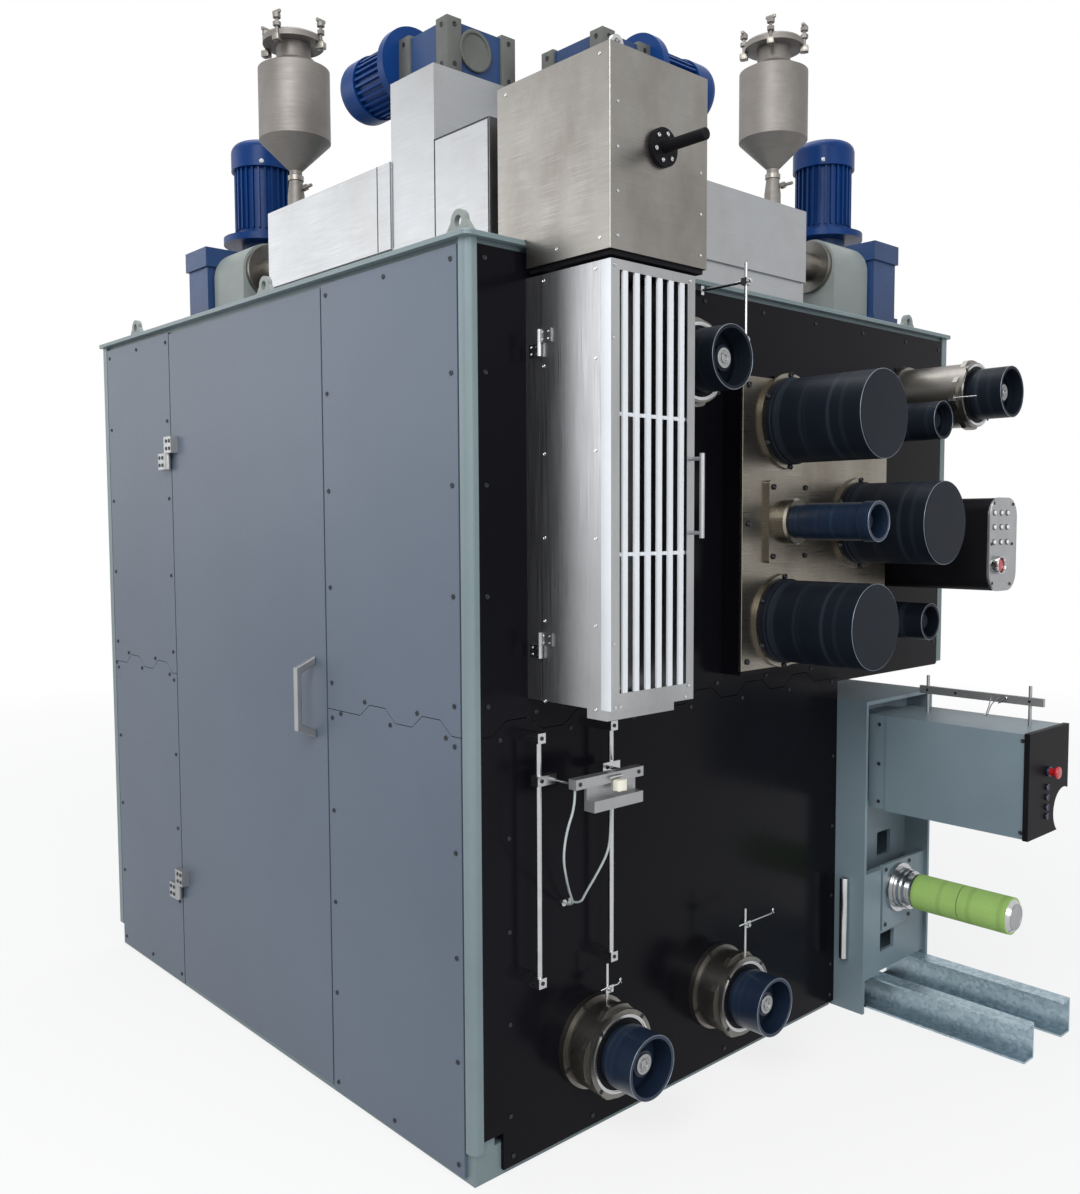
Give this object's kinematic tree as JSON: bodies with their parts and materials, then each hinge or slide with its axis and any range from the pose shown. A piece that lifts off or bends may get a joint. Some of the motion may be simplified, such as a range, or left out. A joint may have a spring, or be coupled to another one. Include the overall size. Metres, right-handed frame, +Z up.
{
  "type": "melt spinning machine",
  "caption": "Pilot melt spinning machine: tall cabinet with two screw extruders and hoppers on top, a spin box and quench box in front, godet rolls and a winder.",
  "frame": {"origin": "on the floor under the middle of the cabinet's footprint, at the underside of the base frame where its two beams cross", "axes": "+X to the right along the working front, +Y to the back of the cabinet, +Z up"},
  "size_m": [2.21, 2.71, 3.113],
  "materials": {
    "side_panels": "satin",
    "front_panels": "glossy",
    "frame": "satin",
    "stainless": "brushed",
    "cast_grey": "satin",
    "drive_blue": "satin",
    "roll_coating": "satin",
    "housing_steel": "machined",
    "box_black": "satin",
    "aluminium": "anodised",
    "bright_steel": "polished",
    "winder_paint": "satin",
    "galvanised": "galvanised",
    "tube_paper": "matt",
    "hose": "translucent"
  },
  "bodies": {
    "machine": {"base_frame": "frame", "frame_posts": "frame", "top_plate": "frame", "lifting_lugs": "frame", "left_panels": "side_panels", "front_panels": "front_panels", "right_panels": "side_panels", "back_panels": "side_panels", "bay_walls": "side_panels", "frame_hinges": "aluminium", "godet_box": "front_panels", "godet_plate": "stainless", "roll_housings": "housing_steel", "quench_frame": "stainless", "quench_hinges": "stainless", "spin_box": "stainless", "spin_rod": "cast_grey", "spin_eye": "bright_steel", "extruder_covers": "stainless", "hoppers": "housing_steel", "hopper_lids": "housing_steel", "coupling_housings": "cast_grey", "feed_throats": "housing_steel", "extruder_gearboxes": "drive_blue", "extruder_motors": "drive_blue", "pump_boxes": "stainless", "link_boxes": "stainless", "pump_gearboxes": "drive_blue", "pump_motors": "drive_blue", "finish_stand": "bright_steel", "finish_guide": "aluminium", "hose_left": "hose", "hose_right": "hose", "yarn_guides": "bright_steel", "control_box": "box_black", "control_panel": "aluminium", "winder_frame": "winder_paint", "floor_rails": "galvanised", "spindle_rings": "housing_steel"},
    "door": {"side_door": "side_panels", "door_hinges": "aluminium", "door_handle": "aluminium"},
    "quench_hood": {"quench_door": "stainless", "quench_slats": "stainless", "quench_handle": "bright_steel"},
    "winding_spindle": {"chuck": "bright_steel", "winding_tubes": "tube_paper"},
    "winder_head": {"winding_head": "winder_paint", "head_cover": "box_black", "head_guide": "aluminium"},
    "upper_godet_body": {"upper_godet": "roll_coating"},
    "middle_godet_body": {"middle_godet": "roll_coating"},
    "lower_godet_body": {"lower_godet": "roll_coating"},
    "separator_roll_body": {"separator_roll": "roll_coating"},
    "lower_left_roll_body": {"lower_left_roll": "roll_coating"},
    "lower_middle_roll_body": {"lower_middle_roll": "roll_coating"},
    "upper_left_roll_body": {"upper_left_roll": "roll_coating"},
    "upper_right_roll_body": {"upper_right_roll": "roll_coating"},
    "small_upper_roll_body": {"small_upper_roll": "roll_coating"},
    "small_lower_roll_body": {"small_lower_roll": "roll_coating"}
  },
  "joints": [
    {"name": "side_door_hinge", "type": "hinge", "parent": "machine", "child": "door", "pos_m": [-1.081, 0.498, 1], "axis": [0, 0, -1], "range_deg": [0, 110]},
    {"name": "quench_hood_hinge", "type": "hinge", "parent": "machine", "child": "quench_hood", "pos_m": [-0.9, -1.10275, 1.6], "axis": [0, 0, -1], "range_deg": [0, 95]},
    {"name": "spindle_turn", "type": "hinge", "parent": "machine", "child": "winding_spindle", "pos_m": [0.616, -1.351, 0.37], "axis": [0, 1, 0], "continuous": true},
    {"name": "winder_head_slide", "type": "slide", "parent": "machine", "child": "winder_head", "axis": [0, 0, 1], "range_m": [-0.1, 0]},
    {"name": "upper_godet_turn", "type": "hinge", "parent": "machine", "child": "upper_godet_body", "pos_m": [0.028, -1.251, 1.838], "axis": [0, 1, 0], "continuous": true},
    {"name": "middle_godet_turn", "type": "hinge", "parent": "machine", "child": "middle_godet_body", "pos_m": [0.396, -1.251, 1.55], "axis": [0, 1, 0], "continuous": true},
    {"name": "lower_godet_turn", "type": "hinge", "parent": "machine", "child": "lower_godet_body", "pos_m": [0.008, -1.251, 1.274], "axis": [0, 1, 0], "continuous": true},
    {"name": "separator_roll_turn", "type": "hinge", "parent": "machine", "child": "separator_roll_body", "pos_m": [0.022, -1.251, 1.555], "axis": [0, 1, 0], "continuous": true},
    {"name": "lower_left_roll_turn", "type": "hinge", "parent": "machine", "child": "lower_left_roll_body", "pos_m": [-0.68, -1.251, 0.24], "axis": [0, 1, 0], "continuous": true},
    {"name": "lower_middle_roll_turn", "type": "hinge", "parent": "machine", "child": "lower_middle_roll_body", "pos_m": [-0.186, -1.251, 0.24], "axis": [0, 1, 0], "continuous": true},
    {"name": "upper_left_roll_turn", "type": "hinge", "parent": "machine", "child": "upper_left_roll_body", "pos_m": [-0.433, -1.251, 1.957], "axis": [0, 1, 0], "continuous": true},
    {"name": "upper_right_roll_turn", "type": "hinge", "parent": "machine", "child": "upper_right_roll_body", "pos_m": [0.8, -1.251, 1.955], "axis": [0, 1, 0], "continuous": true},
    {"name": "small_upper_roll_turn", "type": "hinge", "parent": "machine", "child": "small_upper_roll_body", "pos_m": [0.638, -1.251, 1.868], "axis": [0, 1, 0], "continuous": true},
    {"name": "small_lower_roll_turn", "type": "hinge", "parent": "machine", "child": "small_lower_roll_body", "pos_m": [0.638, -1.251, 1.238], "axis": [0, 1, 0], "continuous": true}
  ]
}
